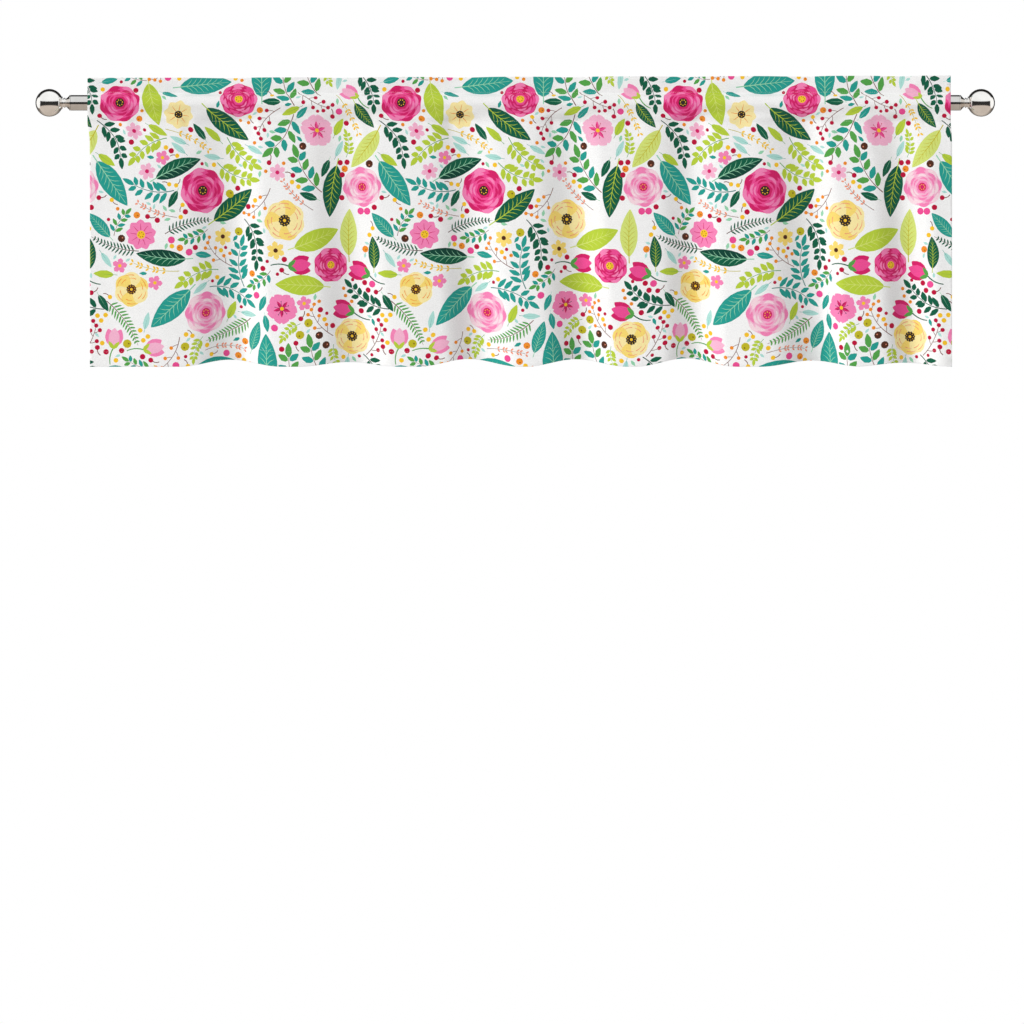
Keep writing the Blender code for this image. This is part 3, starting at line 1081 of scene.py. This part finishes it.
def paint(low, high, outlines, tones):
    """Where the colour changes in a cell: points, edges between them, those that lie on the
    cell's border, and the triangles that tell each place's colour."""
    points = corners_of(low, high)
    faces = [[0, 1, 2, 3]]
    for outline in outlines:
        faces.append(list(range(len(points), len(points) + len(outline))))
        points += list(zip(outline.real.tolist(), outline.imag.tolist()))
    placed, _, triangles, _, _, sources = delaunay_2d_cdt(
        [Vector(point) for point in points], [], faces, 0, FLAT_TOLERANCE, True
    )
    kept = [(corner, max(source) - 1) for corner, source in zip(triangles, sources) if 0 in source]
    colours = [tones[top] if top >= 0 else -1 for _, top in kept]
    beside = {}
    for (corner, _), colour in zip(kept, colours):
        for start, end in zip(corner, corner[1:] + corner[:1]):
            beside.setdefault((min(start, end), max(start, end)), set()).add(colour)
    lines = [edge for edge, found in beside.items() if len(found) > 1]
    borders = [np.array([low[axis], high[axis]]) for axis in (0, 1)]
    placed = snapped([point[:] for point in placed], borders, WELD)
    fixed = np.isin(placed[:, 0], borders[0]) | np.isin(placed[:, 1], borders[1])
    lines = straighten(placed, lines, fixed)
    shared = placed[sorted({index for line in lines for index in line if fixed[index]})]
    corners = placed[np.array([corner for corner, _ in kept])]
    return {"points": placed, "lines": lines, "shared": shared, "corners": corners, "tones": colours}


def colours_at(places, corners, tones):
    """The colour of the triangle that each place lies in."""
    inside = np.full((len(places), len(corners)), np.inf)
    for index in range(3):
        start, end = corners[:, index], corners[:, (index + 1) % 3]
        edge = (end - start) / np.maximum(np.hypot(*(end - start).T), 1e-9)[:, None]
        offset = places[:, None] - start[None]
        inside = np.minimum(inside, edge[:, 0] * offset[..., 1] - edge[:, 1] * offset[..., 0])
    return np.array(tones)[inside.argmax(axis=1)]


def triangulate_cell(low, high, painted, extra):
    """(points, triangles, colour index or -1 of each) of one cell of the flat sheet, in mm."""
    points, edges = corners_of(low, high), []
    if painted:
        used = sorted({index for line in painted["lines"] for index in line})
        number = {index: len(points) + place for place, index in enumerate(used)}
        points += [tuple(painted["points"][index]) for index in used]
        edges += [(number[start], number[end]) for start, end in painted["lines"]]
    columns, rows = cell_grid(low, high)
    for along in BEND_ROWS:
        if low[1] < along * MM < high[1]:
            row = row_points(columns, along * MM)
            first = len(points)
            points += row
            edges += [(first + index, first + index + 1) for index in range(len(row) - 1)]
    for across in EDGE_COLUMNS:
        if low[0] < across * MM < high[0]:
            edges.append((len(points), len(points) + 1))
            points += [(across * MM, low[1]), (across * MM, high[1])]
    drawn = np.array(points)
    for across in columns:
        for along in rows:
            on_border = across in (low[0], high[0]) or along in (low[1], high[1])
            clear = np.hypot(*(drawn - (across, along)).T).min() > CLEAR_OF_OUTLINES
            if on_border or clear and abs(height_at(along)) > HUG_RADIUS:
                points.append((across, along))
    points += extra
    placed, _, triangles, _, _, sources = delaunay_2d_cdt(
        [Vector(point) for point in points], edges, [[0, 1, 2, 3]], 0, FLAT_TOLERANCE, True
    )
    kept = [corner for corner, source in zip(triangles, sources) if source]
    if not painted:
        return placed, kept, [-1] * len(kept)
    centres = np.array([point[:] for point in placed])[np.array(kept)].mean(axis=1)
    return placed, kept, colours_at(centres, painted["corners"], painted["tones"]).tolist()


def weld(points, triangles, tones):
    """Joins the cells' triangles where their borders meet."""
    cells = bpy.data.meshes.new("cells")
    cells.from_pydata([(across, along, 0) for across, along in points], [], triangles)
    cells.attributes.new("tone", "INT", "FACE").data.foreach_set("value", tones)
    flat = bmesh.new()
    flat.from_mesh(cells)
    unused = [vertex for vertex in flat.verts if not vertex.link_faces]
    bmesh.ops.delete(flat, geom=unused, context="VERTS")
    bmesh.ops.remove_doubles(flat, verts=flat.verts, dist=WELD)
    flat.to_mesh(cells)
    flat.free()
    places = np.empty(len(cells.vertices) * 3, np.float32)
    cells.vertices.foreach_get("co", places)
    corners = np.empty(len(cells.loops), np.int32)
    cells.loops.foreach_get("vertex_index", corners)
    tone = np.empty(len(cells.polygons), np.int32)
    cells.attributes["tone"].data.foreach_get("value", tone)
    bpy.data.meshes.remove(cells)
    return places.reshape(-1, 3)[:, :2].astype(float), corners.reshape(-1, 3), tone


def triangulate(shapes, rim=None):
    """The flat sheet's points in mm, its triangles, and each one's colour index, -1 for bare
    ground. The rim's points are added to the cells along the sheet's edges."""
    across = np.linspace(-SIDE_BORDER, FINISHED_WIDTH + SIDE_BORDER, CELL_COLUMNS + 1) * MM
    along = np.linspace(0, FLAT_LENGTH, CELL_ROWS + 1) * MM
    cells = [
        ((across[column], along[row]), (across[column + 1], along[row + 1]))
        for column in range(CELL_COLUMNS)
        for row in range(CELL_ROWS)
    ]
    boxes = np.array([(o.real.min(), o.real.max(), o.imag.min(), o.imag.max()) for o, _ in shapes])
    painted = [None] * len(cells)
    if shapes:
        for number, (low, high) in enumerate(cells):
            beside = (boxes[:, 0] < high[0]) & (boxes[:, 1] > low[0])
            level = (boxes[:, 2] < high[1]) & (boxes[:, 3] > low[1])
            inside = [shapes[index] for index in np.nonzero(beside & level)[0]]
            painted[number] = paint(low, high, *zip(*inside))
        rim = np.unique(np.concatenate([cell["shared"] for cell in painted]), axis=0)
    rim = snapped(rim, (across, along), WELD)
    points, triangles, tones = [], [], []
    for (low, high), colours in zip(cells, painted):
        within = (rim >= low).all(axis=1) & (rim <= high).all(axis=1)
        extra = [tuple(point) for point in rim[within]]
        placed, corners, seen = triangulate_cell(low, high, colours, extra)
        start = len(points)
        points += [tuple(point) for point in placed]
        triangles += [[start + corner for corner in triangle] for triangle in corners]
        tones += seen
    return weld(points, triangles, tones)


def linear(colour):
    """An 8-bit display colour as linear light."""
    value = np.array(colour) / 255
    return np.where(value <= 0.04045, value / 12.92, ((value + 0.055) / 1.055) ** 2.4)


PALETTE = np.array([linear(colour) for colour in DESIGN_COLOURS.values()])
COLOUR_INDEX = {name: index for index, name in enumerate(DESIGN_COLOURS)}
PRINT_ORIGIN = -340 - 250j
REPEATS_ACROSS, REPEATS_UP = 5, 3


def ready_to_cut(outline):
    """An outline that runs anticlockwise, with edges short enough to follow the folds."""
    following = np.roll(outline, -1)
    if (np.conj(outline) * following).imag.sum() < 0:
        outline = outline[::-1]
        following = np.roll(outline, -1)
    points = []
    for start, end in zip(outline, following):
        edge = end - start
        parts = max(abs(edge.real) / LONGEST_EDGE[0], abs(edge.imag) / LONGEST_EDGE[1], 1)
        points.append(start + edge * np.arange(math.ceil(parts)) / math.ceil(parts))
    return np.concatenate(points)


def printed_shapes():
    """The repeat's shapes, laid side by side over the whole sheet, with colour indices."""
    repeat = [(ready_to_cut(outline), colour) for outline, colour in lay_out_repeat()]
    shapes = []
    for column in range(REPEATS_ACROSS):
        for row in range(REPEATS_UP):
            place = PRINT_ORIGIN + complex(column, row) * REPEAT
            shapes += [(place + outline, COLOUR_INDEX[colour]) for outline, colour in repeat]
    return shapes


def border_edges(triangles, points):
    """The sheet's outer edges, each in the direction in which its triangle runs."""
    low, high = points.min(axis=0), points.max(axis=0)
    ends = np.concatenate([triangles[:, [0, 1]], triangles[:, [1, 2]], triangles[:, [2, 0]]])
    starts, stops = points[ends[:, 0]], points[ends[:, 1]]
    outer = np.zeros(len(ends), bool)
    for limit in (low, high):
        for axis in (0, 1):
            on_border = np.abs(np.stack([starts, stops])[..., axis] - limit[axis]) < WELD
            outer |= on_border.all(axis=0)
    return ends[outer]


GHOST_CELL = 6.0
GHOST_STRENGTH = 0.20


def ghost_of_print(points, front_points, triangles, colours):
    """What shows through on the reverse: the print's colours, blurred and faint."""
    corners = front_points[triangles]
    edges = corners[:, 1:] - corners[:, :1]
    area = np.abs(edges[:, 0, 0] * edges[:, 1, 1] - edges[:, 0, 1] * edges[:, 1, 0]) / 2
    low = front_points.min(axis=0)
    size = np.ceil((front_points.max(axis=0) - low) / GHOST_CELL).astype(int) + 1
    cell = ((corners.mean(axis=1) - low) / GHOST_CELL).astype(int)
    total = np.zeros((*size, 4))
    weighted = np.concatenate([colours * area[:, None], area[:, None]], axis=1)
    np.add.at(total, (cell[:, 0], cell[:, 1]), weighted)
    for axis in (0, 1):
        total = total + 0.5 * (np.roll(total, 1, axis) + np.roll(total, -1, axis))
    mean = total[..., :3] / np.maximum(total[..., 3:], 1e-9)
    at = np.minimum(((points - low) / GHOST_CELL).astype(int), size - 1)
    ground = PALETTE[COLOUR_INDEX["white"]]
    return mix(ground, mean[at[:, 0], at[:, 1]], GHOST_STRENGTH)


WEAVE_PITCH = 0.0007


def printed_cloth():
    """Fine plain weave: the print soaked into matt threads, painted light and shade on the weave's
    rises and dips, a faint sheen and a little slub.
    """
    finish = Finish("printed_cloth")
    flat = finish.node("UVMap", uv_map="flat").outputs[0]
    printed = finish.node("Attribute", attribute_name="print").outputs["Color"]
    axes = finish.node("SeparateXYZ", {0: flat}).outputs
    warp = finish.math("SINE", finish.math("MULTIPLY", axes[0], 2 * math.pi / WEAVE_PITCH))
    weft = finish.math("SINE", finish.math("MULTIPLY", axes[1], 2 * math.pi / WEAVE_PITCH))
    weave = finish.math("MULTIPLY", warp, weft)
    raised = finish.math("MULTIPLY_ADD", weave, 0.5, 0.5)
    cloudy = finish.node("TexNoise", {"Vector": flat, "Scale": 90.0, "Detail": 5.0}).outputs["Fac"]
    cloudy = finish.between(cloudy, 0.95, 1.03)
    mottle = finish.node("TexNoise", {"Vector": flat, "Scale": 520.0, "Detail": 2.0}).outputs["Fac"]
    mottle = finish.between(mottle, 0.84, 1.13)
    tone = finish.math("MULTIPLY", cloudy, mottle)
    # Painted light and shade of the weave: the colour is painted up to 5 % lighter where the threads
    # rise and 5 % darker where they dip.
    tone = finish.math("MULTIPLY", tone, finish.between(raised, 0.95, 1.05))
    shade = finish.node("CombineColor", {0: tone, 1: tone, 2: tone}).outputs[0]
    tinted = finish.node(
        "Mix", {0: 1.0, 6: printed, 7: shade}, data_type="RGBA", blend_type="MULTIPLY"
    ).outputs[2]
    slub = finish.node("TexNoise", {"Vector": flat, "Scale": 700.0, "Detail": 3.0}).outputs["Fac"]
    height = finish.math("ADD", raised, slub)
    finish.set(
        Base_Color=tinted,
        Roughness=finish.between(slub, 0.72, 0.86),
        Specular_IOR_Level=0.25,
        Sheen_Weight=0.10,
        Sheen_Roughness=0.5,
        Normal=finish.node(
            "Bump", {"Height": height, "Strength": 0.30, "Distance": 0.0001}
        ).outputs[0],
    )
    return finish.material


def join_faces(front, reverse):
    """The sheet as one closed mesh: its printed face, its reverse, and the rim between them."""
    front_flat, front_triangles, tones = front
    reverse_flat, reverse_triangles, _ = reverse
    colours = PALETTE[tones]
    half = CLOTH_THICKNESS / 2
    places, normals = [], []
    for flat, way in ((front_flat, 1), (reverse_flat, -1)):
        across, along = flat[:, 0] / MM, flat[:, 1] / MM
        normal = facing(across, along) * way
        places.append(hang(across, along) + normal * half)
        normals.append(normal)
    shift = len(front_flat)
    edges = border_edges(front_triangles, front_flat)
    below = np.unique(border_edges(reverse_triangles, reverse_flat))
    offsets = front_flat[edges][:, :, None] - reverse_flat[below]
    under = below[np.hypot(offsets[..., 0], offsets[..., 1]).argmin(axis=2)] + shift
    rim = []
    for (start, stop), (low_start, low_stop) in zip(edges, under):
        rim += [(stop, start, low_start), (stop, low_start, low_stop)]
    rim = np.array(rim)
    triangles = np.concatenate([front_triangles, reverse_triangles[:, ::-1] + shift, rim])
    ghost = ghost_of_print(reverse_flat, front_flat, front_triangles, colours)
    ground = np.broadcast_to(PALETTE[COLOUR_INDEX["white"]], (len(rim), 3, 3))
    corner_colours = np.concatenate(
        [
            np.repeat(colours[:, None], 3, axis=1),
            ghost[reverse_triangles[:, ::-1]],
            ground,
        ]
    )
    flat = np.concatenate([front_flat, reverse_flat]) / MM
    return np.concatenate(places), np.concatenate(normals), triangles, corner_colours, flat


def cloth_mesh():
    """The printed sheet as it hangs, with its print's colours and its flat shape as a UV map."""
    front = triangulate(printed_shapes())
    white = COLOUR_INDEX["white"]
    front = (front[0], front[1], np.where(front[2] < 0, white, front[2]))
    edge_points = front[0][np.unique(border_edges(front[1], front[0]))]
    reverse = triangulate([], edge_points)
    places, normals, triangles, corner_colours, flat = join_faces(front, reverse)
    mesh = bpy.data.meshes.new("valance_cloth")
    mesh.from_pydata(places.tolist(), [], triangles.tolist())
    colour = mesh.color_attributes.new("print", "FLOAT_COLOR", "CORNER")
    opaque = np.ones((len(triangles) * 3, 4), np.float32)
    opaque[:, :3] = corner_colours.reshape(-1, 3)
    colour.data.foreach_set("color", opaque.ravel())
    layer = mesh.uv_layers.new(name="flat")
    layer.data.foreach_set("uv", flat[triangles.ravel()].astype(np.float32).ravel())
    mesh.shade_smooth()
    mesh.normals_split_custom_set_from_vertices(normals.tolist())
    return mesh


valance = place_piece(cloth_mesh(), printed_cloth(), "printed_cloth", "cloth")


# Stitching
# White polyester thread, machine sewn in lock stitch: a row above the rod, a row below it and a row
# along the top of the hem, each through both layers, so that it shows on the face and on the back.

STITCH_PITCH = 0.0032
STITCH_LENGTH = 0.0024
THREAD_RADIUS = 0.00014
STITCH_SINK = 0.00006
SIDE_MARGIN = 0.003
HEM_STITCH_BELOW_EDGE = 0.002


def stitch_shape():
    """One stitch of unit size along x: points and triangles of a low, round-ended lozenge."""
    shape = bmesh.new()
    bmesh.ops.create_uvsphere(
        shape, u_segments=5, v_segments=4, radius=1, matrix=Matrix.Rotation(math.pi / 2, 4, "Y")
    )
    bmesh.ops.triangulate(shape, faces=shape.faces)
    shape.verts.index_update()
    points = np.array([vertex.co[:] for vertex in shape.verts])
    triangles = np.array([[vertex.index for vertex in face.verts] for face in shape.faces])
    shape.free()
    return points, triangles


def seam_rows():
    """Where the rows of stitches run along the section, on the face and on the back layer."""
    length = dict(zip(SECTION_MARKS, SECTION_LENGTH[list(SECTION_MARKS.values())]))
    middle = (length["top_turn"] + length["back_heading"]) / 2
    hem_front = length["drop"] + HEM_TURN_UP - HALF_SPACING - HEM_STITCH_BELOW_EDGE
    hem_back = HEM_STITCH_BELOW_EDGE
    heading = length["heading"]
    seam = length["pocket_seam"]
    return (hem_front, hem_back, seam, 2 * middle - seam, heading, 2 * middle - heading)


def stitching_mesh():
    """All the stitches, each laid on the hung cloth and half sunk in it."""
    points, triangles = stitch_shape()
    size = np.array([STITCH_LENGTH / 2, THREAD_RADIUS, THREAD_RADIUS])
    starts = np.arange(SIDE_MARGIN, FINISHED_WIDTH - SIDE_MARGIN, STITCH_PITCH)
    places, corners = [], []
    for along in seam_rows():
        rows = np.full(len(starts), along)
        middle = hang(starts, rows)
        direction = hang(starts + SLOPE_STEP, rows) - hang(starts - SLOPE_STEP, rows)
        direction /= np.linalg.norm(direction, axis=1, keepdims=True)
        normal = facing(starts, rows)
        side = np.cross(normal, direction)
        middle = middle + normal * (CLOTH_THICKNESS / 2 + THREAD_RADIUS / 2 - STITCH_SINK)
        scaled = points * size
        spread = (
            scaled[None, :, :1] * direction[:, None]
            + scaled[None, :, 1:2] * side[:, None]
            + scaled[None, :, 2:] * normal[:, None]
        )
        first = len(places) * len(starts) * len(points)
        places.append((middle[:, None] + spread).reshape(-1, 3))
        numbers = first + np.arange(len(starts))[:, None, None] * len(points) + triangles[None]
        corners.append(numbers.reshape(-1, 3))
    mesh = bpy.data.meshes.new("seam_stitching")
    mesh.from_pydata(np.concatenate(places).tolist(), [], np.concatenate(corners).tolist())
    mesh.shade_smooth()
    return mesh


def white_thread():
    """Twisted polyester thread, with painted light along the backs of its strands and painted shade
    between them.
    """
    finish = Finish("white_thread")
    place = finish.node("TexCoord").outputs["Object"]
    twist = finish.node("TexWave", {"Vector": place, "Scale": 900.0, "Distortion": 2.0})
    # Painted light and shade: the thread's colour is painted lighter along the backs of its twisted
    # strands and darker in the grooves between them.
    tone = finish.node("ValToRGB", {"Fac": twist.outputs["Fac"]})
    tone.color_ramp.elements[0].color = (0.78, 0.78, 0.77, 1)
    tone.color_ramp.elements[1].color = (0.92, 0.92, 0.91, 1)
    finish.set(
        Base_Color=tone.outputs["Color"],
        Roughness=finish.between(twist.outputs["Fac"], 0.45, 0.62),
        Sheen_Weight=0.2,
    )
    return finish.material


stitching = place_piece(stitching_mesh(), white_thread(), "printed_cloth")


# Studio
# A plain pale floor far below, a straight-on camera without perspective, soft light from the front
# left, a weaker one from behind, and a bright room. The floor and the lights show in no mirror, and
# the polished metal mirrors the room's own zones.

PIXEL = 0.0015536
FRAME_PIXELS = 1024
ROD_PIXEL = (515.2, 102.8)
CAMERA_DISTANCE = 4.0
FLOOR_Z = -1.5
FLOOR_SIZE = 12.0


def pale_floor():
    """Smooth pale plaster, faintly clouded."""
    finish = Finish("pale_floor")
    place = finish.node("TexCoord").outputs["Object"]
    cloudy = finish.node("TexNoise", {"Vector": place, "Scale": 3.0, "Detail": 4.0})
    tone = finish.node("ValToRGB", {"Fac": cloudy.outputs["Fac"]})
    tone.color_ramp.elements[0].color = (0.88, 0.87, 0.86, 1)
    tone.color_ramp.elements[1].color = (0.92, 0.91, 0.90, 1)
    finish.set(Base_Color=tone.outputs["Color"], Roughness=0.8)
    return finish.material


floor_shape = bmesh.new()
bmesh.ops.create_grid(
    floor_shape,
    x_segments=1,
    y_segments=1,
    size=FLOOR_SIZE / 2,
    matrix=Matrix.Translation((0, 0, FLOOR_Z)),
)
floor_mesh = bpy.data.meshes.new("floor")
floor_shape.to_mesh(floor_mesh)
floor_shape.free()
floor_mesh.materials.append(pale_floor())
floor = bpy.data.objects.new("floor", floor_mesh)
bpy.context.scene.collection.objects.link(floor)
floor.visible_glossy = False


def add_sun(name, place, strength, softness, colour):
    """Even light from a far place, soft at its shadows' edges and unseen in mirrors."""
    data = bpy.data.lights.new(name, "SUN")
    data.energy = strength
    data.angle = softness
    data.color = colour
    light = bpy.data.objects.new(name, data)
    light.rotation_euler = Vector(place).to_track_quat("Z", "Y").to_euler()
    light.visible_glossy = False
    bpy.context.scene.collection.objects.link(light)


add_sun("key", (-0.79, -0.56, 0.46), 2.12, 0.26, (1.0, 0.995, 0.985))
add_sun("back", (0.35, 0.92, 0.18), 1.00, 0.50, (1.0, 1.0, 1.0))

camera_data = bpy.data.cameras.new("camera")
camera_data.type = "ORTHO"
camera_data.ortho_scale = FRAME_PIXELS * PIXEL
camera = bpy.data.objects.new("camera", camera_data)
camera.location = (
    (FRAME_PIXELS / 2 - ROD_PIXEL[0]) * PIXEL,
    -CAMERA_DISTANCE,
    (ROD_PIXEL[1] - FRAME_PIXELS / 2) * PIXEL,
)
camera.rotation_euler = (math.pi / 2, 0, 0)
bpy.context.scene.collection.objects.link(camera)
bpy.context.scene.camera = camera

# What a mirror sees in front by height, from straight down at 0 to straight up at 1: a warm pale
# floor, a dark band at eye level and a white ceiling. Behind, all is dark above the floor, and both
# sides are bright.
ROOM_LIGHT = 0.455
MIRRORED_HEIGHTS = (
    (0.00, (0.74, 0.67, 0.60)),
    (0.30, (0.80, 0.72, 0.65)),
    (0.34, (0.05, 0.05, 0.05)),
    (0.585, (0.03, 0.03, 0.03)),
    (0.62, (1.26, 1.33, 1.38)),
    (1.00, (1.26, 1.33, 1.38)),
)
MIRRORED_BEHIND = (
    (0.00, (0.74, 0.67, 0.60)),
    (0.10, (0.74, 0.67, 0.60)),
    (0.28, (0.20, 0.18, 0.16)),
    (0.50, (0.02, 0.02, 0.02)),
)
BEHIND_FROM = (0.28, 0.42)
MIRRORED_SIDES = (1.35, 1.40, 1.43, 1)
SIDES_FROM = (0.93, 0.97)
SIDES_LEAN = 0.35


def bright_room():
    """The world: white to the camera, even light on cloth, and those zones in a mirror."""
    world = bpy.data.worlds.new("studio")
    world.use_nodes = True
    tree = world.node_tree

    def by_height(stops):
        bands = add_node(tree, "ValToRGB", {"Fac": height})
        while len(bands.color_ramp.elements) < len(stops):
            bands.color_ramp.elements.new(1.0)
        for element, (position, colour) in zip(bands.color_ramp.elements, stops):
            element.position = position
            element.color = (*colour, 1)
        return bands.outputs["Color"]

    def blend(share, first, second):
        inputs = {0: share, 6: first, 7: second}
        return add_node(tree, "Mix", inputs, data_type="RGBA").outputs[2]

    def ramp(value, start, end):
        limits = {"Value": value, "From Min": start, "From Max": end}
        return add_node(tree, "MapRange", limits).outputs[0]

    def math_of(operation, *values):
        return add_node(tree, "Math", dict(enumerate(values)), operation=operation).outputs[0]

    direction = add_node(tree, "TexCoord", {}).outputs["Generated"]
    to_right, to_back, upwards = add_node(tree, "SeparateXYZ", {0: direction}).outputs
    height = ramp(upwards, -1, 1)
    behind = ramp(to_back, *BEHIND_FROM)
    mirrored = blend(behind, by_height(MIRRORED_HEIGHTS), by_height(MIRRORED_BEHIND))
    lean = math_of("MULTIPLY", to_back, SIDES_LEAN)
    aside = math_of("ADD", math_of("ABSOLUTE", to_right), lean)
    mirrored = blend(ramp(aside, *SIDES_FROM), mirrored, MIRRORED_SIDES)
    path = add_node(tree, "LightPath", {})
    even = (ROOM_LIGHT, ROOM_LIGHT, ROOM_LIGHT, 1)
    seen = blend(path.outputs["Is Glossy Ray"], even, mirrored)
    seen = blend(path.outputs["Is Camera Ray"], seen, (1, 1, 1, 1))
    tree.links.new(seen, tree.nodes["Background"].inputs["Color"])
    bpy.context.scene.world = world


bright_room()
bpy.context.scene.view_settings.view_transform = "Standard"
